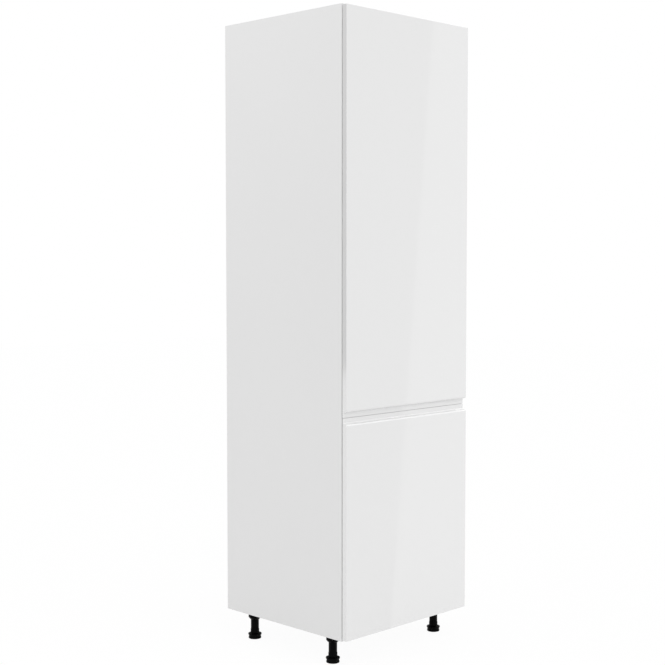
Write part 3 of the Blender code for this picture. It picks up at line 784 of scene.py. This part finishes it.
def make_door(door, grip_at_top):
    """A foil-wrapped door, bored at the back for its hinge cups."""
    size = sizes()
    node = "door_" + door
    low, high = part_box(node)
    outline = []
    for depth, height in door_section(high.y - low.y, high.z - low.z):
        outline.append((high.y - depth, high.z - height if grip_at_top else low.z + height))
    work = bmesh.new()
    add_prism(work, outline, low.x, high.x)
    ends = [
        edge for edge in work.edges
        if abs(edge.verts[0].co.x - edge.verts[1].co.x) < MERGE and edge.calc_length() < high.z - low.z]
    round_edges(work, ends, size.door_round, WIDE_EDGE_STEPS, clamped=False)
    mesh = mesh_from(work, node + "_foiled")
    rods = []
    for hinge in HINGES:
        if hinge.startswith(door):
            cup_low, cup_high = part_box("hinge_cup_" + hinge)
            middle = (cup_low + cup_high) / 2
            radius = (cup_high.x - cup_low.x) / 2 + size.fit
            floor = (middle.x, cup_low.y - size.fit, middle.z)
            rods.append((radius, floor, (middle.x, high.y + OVERRUN, middle.z)))
    mesh = combined(mesh, bores_mesh(rods, CUP_SIDES))
    for face in mesh.polygons:
        if face.normal.y > FACES_THERE and face.center.y > high.y - MERGE:
            face.material_index = OTHER_FACE
        # Side edge faces take the darker band white, which is partly painted shade.
        if abs(face.normal.x) > FACES_THERE and abs(face.center.x) > high.x - MERGE:
            face.material_index = SIDE_EDGE
    add_for_node(
        node, "_foiled", mesh, ["foil_gloss", "door_back_matt", "board_bore", "band_gloss"])


class CABINET_OT_doors(bpy.types.Operator):
    """Make both doors with their milled finger grips"""
    bl_idname = "cabinet.doors"
    bl_label = "Doors"

    def execute(self, context):
        make_door("lower", True)
        make_door("upper", False)
        return {"FINISHED"}


def screw_mesh(name, radius):
    """A domed screw head with a cross recess, standing on z = 0."""
    height = radius * SCREW_HEIGHT_SHARE
    profile = softened(
        [(radius * across, height * up) for across, up in SCREW_DOME_SHARES], height * SCREW_ROUND_SHARE)
    head = turned_mesh(name, profile, SMALL_SIDES)
    arm, width = radius * CROSS_LENGTH_SHARE, radius * CROSS_WIDTH_SHARE
    floor = height * CROSS_FLOOR_SHARE
    for across, along in ((arm, width), (width, arm)):
        slot = box_mesh("slot", (-across, -along, floor), (across, along, 2 * height))
        head = combined(head, slot)
    return head


def add_screws(name, places, direction, radius, body):
    """Screw heads at several places, as one piece, looking in one direction."""
    single = screw_mesh("screw_in_work", radius)
    work = bmesh.new()
    for index, place in enumerate(places):
        spin = Matrix.Rotation(math.radians(SCREW_TURN + SCREW_TURN_STEP * index), 4, "Z")
        copy = single.copy()
        copy.transform(Matrix.Translation(place) @ facing(direction) @ spin)
        work.from_mesh(copy)
        bpy.data.meshes.remove(copy)
    bpy.data.meshes.remove(single)
    add_piece(name, mesh_from(work, name), body, ["pin_zinc"])


def make_cup(hinge):
    """A hinge cup with its flange, and the pressed rim that covers the edge of its bore."""
    node = "hinge_cup_" + hinge
    size = sizes()
    low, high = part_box(node)
    middle = (low + high) / 2
    cup = (high.x - low.x) / 2
    door_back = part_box("door_" + hinge.split("_")[0])[1].y
    rim_low, rim_high = size.fit / 2, high.y - door_back - size.fit / 2
    inside, outside = cup - size.rim_width, cup + size.rim_width
    rim = softened(
        [(inside, rim_low), (inside, rim_high), (outside, rim_high), (outside, rim_low),
         (inside, rim_low)], size.hinge_round)
    ring = turned_mesh("rim", rim, LEG_SIDES)
    upright = Matrix.Rotation(-math.pi / 2, 4, "X")
    ring.transform(Matrix.Translation((middle.x, door_back, middle.z)) @ upright)
    add_plated(node, combined(refined_mesh(node, size.hinge_round), ring, "UNION"))
    reach = (high.z - low.z) / 2 - size.screw_head - size.door_edge
    add_screws(
        "cup_screws_" + hinge, [(middle.x, high.y, middle.z + sign * reach) for sign in (-1, 1)],
        (0, 1, 0), size.screw_head, body_of(node))


def make_arm(hinge):
    """A hinge arm on its plate, with slots for the screws that adjust and hold it."""
    size = sizes()
    node = "hinge_arm_" + hinge
    plate_low, plate_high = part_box("hinge_plate_" + hinge)
    middle_z = (plate_low.z + plate_high.z) / 2
    face_x = plate_low.x - size.fit - size.arm_height
    mesh = refined_mesh(node, size.hinge_round, size.arm_round, face_x + size.arm_height / 2)
    floor_x = face_x + size.slot_depth
    slots = []
    for share in ARM_SCREW_SHARES:
        y = plate_low.y + share * (plate_high.y - plate_low.y)
        slots.append((floor_x, y, middle_z))
        ends = (y - size.slot_length / 2, y + size.slot_length / 2)
        outline = arc((ends[0], middle_z), size.slot_radius, 90, 270)
        outline += arc((ends[1], middle_z), size.slot_radius, 270, 450)
        work = bmesh.new()
        add_prism(work, outline, face_x - OVERRUN, floor_x)
        mesh = combined(mesh, mesh_from(work, "slot"))
    add_plated(node, mesh)
    add_screws("arm_screws_" + hinge, slots, (-1, 0, 0), size.screw_head, "carcass")


def make_plate_and_link(hinge):
    """A hinge's mounting plate with its two screws, and the link between arm and cup."""
    size = sizes()
    for kind in ("plate", "link"):
        node = "_".join(("hinge", kind, hinge))
        add_plated(node, refined_mesh(node, size.hinge_round))
    low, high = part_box("hinge_plate_" + hinge)
    pin_low, pin_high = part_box(next(pin for pin in PINS if "front" in pin))
    wing_y, middle_z = (pin_low.y + pin_high.y) / 2, (low.z + high.z) / 2
    add_screws(
        "plate_screws_" + hinge,
        [(low.x, wing_y, middle_z + sign * size.plate_screws) for sign in (-1, 1)],
        (-1, 0, 0), size.screw_head, "carcass")


class CABINET_OT_hinges(bpy.types.Operator):
    """Make every hinge: cup, link, arm, plate and screws"""
    bl_idname = "cabinet.hinges"
    bl_label = "Hinges"

    def execute(self, context):
        for hinge in HINGES:
            make_cup(hinge)
            make_arm(hinge)
            make_plate_and_link(hinge)
        return {"FINISHED"}


class CABINET_OT_shelf_pins(bpy.types.Operator):
    """Make the turned pins that the shelves lie on"""
    bl_idname = "cabinet.shelf_pins"
    bl_label = "Shelf Pins"

    def execute(self, context):
        size = sizes()
        for pin in PINS:
            low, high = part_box(pin)
            inward = -1 if pin.endswith("right") else 1
            reach = high.x - low.x
            radius, collar = size.pin_radius, (high.z - low.z) / 2
            collar_start = size.pin_root + size.fit
            collar_end = collar_start + size.pin_collar
            profile = softened(
                [(0, 0), (radius, 0), (radius, collar_start), (collar, collar_start),
                 (collar, collar_end), (radius, collar_end), (radius, reach), (0, reach)],
                size.pin_collar / 2)
            mesh = turned_mesh(pin + "_turned", profile, PIN_SIDES)
            start = low if inward > 0 else high
            matrix = Matrix.Translation((start.x, (low.y + high.y) / 2, (low.z + high.z) / 2))
            matrix = matrix @ Matrix.Rotation(inward * math.pi / 2, 4, "Y")
            add_for_node(pin, "_turned", mesh, ["pin_zinc"], matrix)
        return {"FINISHED"}


def make_foot(leg):
    """A foot: a spool with soft edges under a threaded stem."""
    size = sizes()
    node = "leg_foot_" + leg
    low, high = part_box(node)
    tube_low, tube_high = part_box("leg_tube_" + leg)
    centre = (low + high) / 2
    collar = (high.x - low.x) / 2
    flare = (tube_high.x - tube_low.x) / 2
    waist_low = size.foot_rim + size.foot_base - size.foot_waist
    waist_high = waist_low + size.foot_waist_height
    collar_low = waist_high + collar - size.foot_waist
    body = softened(
        [(0, size.foot_height), (flare, size.foot_height), (collar, (size.foot_height + collar_low) / 2),
         (collar, collar_low), (size.foot_waist, waist_high), (size.foot_waist, waist_low),
         (size.foot_base, size.foot_rim), (size.foot_base, 0), (0, 0)], size.moulded_round)
    spool = turned_mesh(node + "_moulded", body, LEG_SIDES)
    root, top = size.foot_height - size.fit, high.z - low.z
    pitch, depth = size.thread_pitch, size.thread_depth

    def thread(radius, height, angle):
        """The stem's radius, which rises and falls once for each turn of the thread."""
        phase = (height / pitch - angle / math.tau) % 1.0
        return radius - depth * abs(2 * phase - 1)

    rings = int((top - root) / pitch * THREAD_STEPS)
    profile = [(0, top)]
    profile += [(size.stem_radius, top - index * (top - root) / rings) for index in range(rings + 1)]
    profile += [(0, root)]
    stem = turned_mesh("stem", profile, SMALL_SIDES, thread)
    add_moulded(node, combined(spool, stem, "UNION"), centre.x, centre.y, low.z)


def make_tube(leg):
    """A leg's tube: ribbed along its length, flared at the foot and bored for the stem."""
    size = sizes()
    node = "leg_tube_" + leg
    low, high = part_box(node)
    centre = (low + high) / 2
    flare, radius = (high.x - low.x) / 2, size.tube_radius
    bore, bore_top = size.stem_radius + size.fit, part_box("leg_foot_" + leg)[1].z + 2 * size.fit
    flare_top = low.z + size.flare_height
    ribs_low = flare_top + size.flare_taper
    ribs_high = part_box("leg_socket_" + leg)[0].z
    profile = [
        (0, high.z), (radius, high.z), (radius, ribs_high), (radius, ribs_low), (flare, flare_top),
        (flare, low.z), (bore, low.z), (bore, bore_top), (0, bore_top)]

    def ribbed(reach, height, angle):
        """Grooves between the ribs, on the outside and below the socket."""
        if abs(reach - radius) > MERGE or not ribs_low + MERGE < height < ribs_high - MERGE:
            return reach
        return reach - size.rib * (1 + math.cos(TUBE_RIBS * angle)) / 2

    fine = []
    for start, end in zip(profile, profile[1:]):
        steps = ARC_STEPS if start[0] == end[0] == radius else 1
        fine += [Vector(start).lerp(Vector(end), step / steps) for step in range(steps)]
    fine.append(profile[-1])
    mesh = turned_mesh(node + "_moulded", fine, TUBE_RIBS * RIB_SIDES, ribbed)
    add_moulded(node, mesh, centre.x, centre.y, 0)


def make_socket(leg):
    """A leg's socket under the bottom board, and the screws in its plate."""
    size = sizes()
    node = "leg_socket_" + leg
    low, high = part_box(node)
    centre = (low + high) / 2
    plate, collar = (high.x - low.x) / 2, size.socket_radius
    top, under = high.z, low.z
    plate_under, roof = top - size.socket_plate, top - size.socket_roof
    bore = size.tube_radius + size.fit
    profile = softened(
        [(0, top), (plate, top), (plate, plate_under), (collar, plate_under - size.socket_step),
         (collar, under + size.socket_taper), (bore + size.socket_lip, under), (bore, under),
         (bore, roof), (0, roof)], size.moulded_round)
    add_moulded(node, turned_mesh(node + "_moulded", profile, LEG_SIDES), centre.x, centre.y, 0)
    ring = (plate + collar) / 2
    places = []
    for quarter in range(4):
        angle = math.radians(45 + 90 * quarter)
        x, y = centre.x + ring * math.cos(angle), centre.y + ring * math.sin(angle)
        places.append((x, y, plate_under))
    add_screws("socket_screws_" + leg, places, (0, 0, -1), size.socket_screw, "carcass")


class CABINET_OT_legs(bpy.types.Operator):
    """Make the four legs: foot, tube and socket"""
    bl_idname = "cabinet.legs"
    bl_label = "Legs"

    def execute(self, context):
        for leg in LEGS:
            make_foot(leg)
            make_tube(leg)
            make_socket(leg)
        return {"FINISHED"}


def add_disc(name, place, direction, radius, height, material):
    """A small round cap with soft edges, standing on a surface."""
    profile = softened([(0, height), (radius, height), (radius, 0), (0, 0)], height / 2)
    mesh = turned_mesh(name, profile, SMALL_SIDES)
    matrix = Matrix.Translation(place) @ facing(direction)
    add_piece(name, mesh, "carcass", [material], matrix=matrix)


class CABINET_OT_fittings(bpy.types.Operator):
    """Make the caps over the cam dowels and the clear bumpers behind the doors"""
    bl_idname = "cabinet.fittings"
    bl_label = "Caps and Bumpers"

    def execute(self, context):
        size = sizes()
        for node, above in (("bottom_panel", True), ("fixed_shelf", False), ("top_panel", False)):
            low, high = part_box(node)
            for side, x in (("left", low.x + size.cap_inset), ("right", high.x - size.cap_inset)):
                for row, y in (("front", low.y + size.cap_inset), ("back", high.y - size.cap_inset)):
                    add_disc(
                        "_".join(("cam_cap", node, row, side)), (x, y, high.z if above else low.z),
                        (0, 0, 1 if above else -1), size.cap_radius, size.cap_height, "cap_white")
        panel_low, panel_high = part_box("side_panel_left")
        for door in ("lower", "upper"):
            low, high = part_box("door_" + door)
            for end, z in (("bottom", low.z + size.bore_pitch), ("top", high.z - size.bore_pitch)):
                add_disc(
                    "_".join(("bumper", door, end)), ((panel_low.x + panel_high.x) / 2, panel_low.y, z),
                    (0, -1, 0), size.bumper_radius, size.bumper_height, "bumper_clear")
        return {"FINISHED"}


def shown_rays(tree):
    """One where a ray comes from the camera, or through gloss or glass."""
    path, either, shown = add_nodes(tree, "LightPath", "Math", "Math")
    for larger in (either, shown):
        larger.operation = "MAXIMUM"
    wire(
        tree,
        (path, "Is Camera Ray", either, 0),
        (path, "Is Glossy Ray", either, 1),
        (either, "Value", shown, 0),
        (path, "Is Transmission Ray", shown, 1))
    return shown


def make_world():
    """Plain white where it shows, and a soft even light on everything."""
    world = bpy.data.worlds.new("studio")
    bpy.context.scene.world = world
    world.use_nodes = True
    tree = world.node_tree
    light = tree.nodes["Background"]
    backdrop, mix = add_nodes(tree, "Background", "MixShader")
    for background, strength in ((light, WORLD_LIGHT), (backdrop, 1.0)):
        background.inputs["Color"].default_value = WHITE
        background.inputs["Strength"].default_value = strength
    wire(
        tree,
        (shown_rays(tree), "Value", mix, "Fac"),
        (light, "Background", mix, 1),
        (backdrop, "Background", mix, 2),
        (mix, "Shader", tree.nodes["World Output"], "Surface"))


def make_floor():
    """A pale floor, white in the picture but for a faint shadow."""
    work = bmesh.new()
    bmesh.ops.create_grid(work, x_segments=1, y_segments=1, size=FLOOR_SIZE)
    floor = add_object("floor", mesh_from(work, "floor"))
    floor.location.z = -FLOOR_DROP
    material = bpy.data.materials.new("floor_white")
    material.use_nodes = True
    tree = material.node_tree
    tree.nodes.remove(tree.nodes["Principled BSDF"])
    matt, glow, faint, mix = add_nodes(tree, "BsdfDiffuse", "Emission", "MixShader", "MixShader")
    matt.inputs["Color"].default_value = FLOOR_COLOUR
    glow.inputs["Strength"].default_value = FLOOR_GLOW
    faint.inputs["Fac"].default_value = FLOOR_GLOW_SHARE
    wire(
        tree,
        (matt, "BSDF", faint, 1),
        (glow, "Emission", faint, 2),
        (shown_rays(tree), "Value", mix, "Fac"),
        (matt, "BSDF", mix, 1),
        (faint, "Shader", mix, 2),
        (mix, "Shader", tree.nodes["Material Output"], "Surface"))
    floor.data.materials.append(material)
    hide_from(floor, "glossy")


def add_lamp(name, kind, power, place, turn, **settings):
    """A lamp of one kind, at a place and with a turn, and the settings that its kind has."""
    data = bpy.data.lights.new(name, kind)
    data.energy = power
    for setting, value in settings.items():
        setattr(data, setting, value)
    lamp = add_object(name, data)
    lamp.location = place
    lamp.rotation_euler = turn
    return lamp


def aimed(place, target):
    """A lamp's turn towards a target."""
    return (Vector(target) - Vector(place)).to_track_quat("-Z", "Y").to_euler()


def make_soft_sun():
    """A wide soft light from the front left, the same from top to bottom of the cabinet."""
    turn = aimed((0, 0, 0), SUN_HEADING)
    sun = add_lamp("soft_sun", "SUN", SUN_POWER, (0, 0, 0), turn, angle=math.radians(SUN_WIDTH))
    hide_from(sun, "glossy")


def make_side_lamp():
    """A soft lamp high on the left, so the side board darkens a little towards the floor."""
    turn = aimed(SIDE_LAMP_PLACE, SIDE_LAMP_TARGET)
    lamp = add_lamp(
        "side_lamp", "AREA", SIDE_LAMP_POWER, SIDE_LAMP_PLACE, turn, size=SIDE_LAMP_WIDTH)
    hide_from(lamp, "glossy", "camera")


def make_flag():
    """A black screen behind on the left, which only shows in gloss, on the doors' near edges."""
    low, high = Vector(FLAG_LOW), Vector(FLAG_HIGH)
    mesh = bpy.data.meshes.new("flag")
    corners = [low, (high.x, low.y, low.z), high, (low.x, low.y, high.z)]
    mesh.from_pydata(corners, [], [(0, 1, 2, 3)])
    flag = add_object("flag", mesh)
    material, shader = new_material("flag_black", roughness=1.0)
    shader.inputs["Base Color"].default_value = BLACK
    shader.inputs["Specular IOR Level"].default_value = 0.0
    mesh.materials.append(material)
    hide_from(flag, "camera", "diffuse", "shadow", "transmission")


def add_softbox(name, glow, width, height, place, turn):
    """A softbox that only shows in gloss, by its glow over the white around it."""
    power = glow * math.pi * width * height
    box = add_lamp(name, "AREA", power, place, turn, shape="RECTANGLE", size=width, size_y=height)
    hide_from(box, "diffuse", "camera")


def make_softboxes():
    """A leaning softbox mirrored in the doors, and one overhead for their rounded lips."""
    lean = math.radians(SOFTBOX_LEAN)
    across = Vector((math.cos(lean), 0, -math.sin(lean)))
    place = Vector(SOFTBOX_EDGE) + across * SOFTBOX_WIDTH / 2
    add_softbox("softbox", SOFTBOX_GLOW, SOFTBOX_WIDTH, SOFTBOX_LENGTH, place, (math.pi / 2, lean, 0))
    turn = aimed(OVERHEAD_PLACE, OVERHEAD_TARGET)
    add_softbox("overhead", OVERHEAD_GLOW, OVERHEAD_WIDTH, OVERHEAD_WIDTH, OVERHEAD_PLACE, turn)


def make_camera():
    data = bpy.data.cameras.new("camera")
    data.lens = CAMERA_LENS
    camera = add_object("camera", data)
    camera.location = CAMERA_PLACE
    camera.rotation_euler = (math.radians(90 + CAMERA_PITCH), 0, math.radians(-CAMERA_HEADING))
    bpy.context.scene.camera = camera


class CABINET_OT_stage(bpy.types.Operator):
    """Make the floor, the soft light and the photograph's viewpoint"""
    bl_idname = "cabinet.stage"
    bl_label = "Stage"

    def execute(self, context):
        context.scene.view_settings.view_transform = "Standard"
        make_world()
        make_floor()
        make_soft_sun()
        make_side_lamp()
        make_flag()
        make_softboxes()
        make_camera()
        return {"FINISHED"}


class CABINET_PT_sidebar(bpy.types.Panel):
    """Lists the cabinet's pieces, sizes and colours"""
    bl_idname = "CABINET_PT_sidebar"
    bl_label = "Tall Kitchen Cabinet"
    bl_space_type = "VIEW_3D"
    bl_region_type = "UI"
    bl_category = "Cabinet"

    def draw(self, context):
        column = self.layout.column(align=True)
        for operator in OPERATORS:
            column.operator(operator.bl_idname)
        for title, group in (("Sizes", sizes()), ("Colours", colours())):
            box = self.layout.box()
            box.label(text=title)
            for name in group.__annotations__:
                box.prop(group, name)


OPERATORS = (
    CABINET_OT_finishes,
    CABINET_OT_boards,
    CABINET_OT_back_sheet,
    CABINET_OT_doors,
    CABINET_OT_hinges,
    CABINET_OT_shelf_pins,
    CABINET_OT_legs,
    CABINET_OT_fittings,
    CABINET_OT_stage,
)
CLASSES = (CabinetSizes, CabinetColours, *OPERATORS, CABINET_PT_sidebar)


def register():
    for each in CLASSES:
        bpy.utils.register_class(each)
    bpy.types.Scene.cabinet_sizes = PointerProperty(type=CabinetSizes)
    bpy.types.Scene.cabinet_colours = PointerProperty(type=CabinetColours)


def unregister():
    del bpy.types.Scene.cabinet_colours
    del bpy.types.Scene.cabinet_sizes
    for each in reversed(CLASSES):
        bpy.utils.unregister_class(each)


def main():
    register()
    bpy.ops.cabinet.finishes()
    bpy.ops.cabinet.boards()
    bpy.ops.cabinet.back_sheet()
    bpy.ops.cabinet.doors()
    bpy.ops.cabinet.hinges()
    bpy.ops.cabinet.shelf_pins()
    bpy.ops.cabinet.legs()
    bpy.ops.cabinet.fittings()
    bpy.ops.cabinet.stage()


if __name__ == "__main__":
    main()
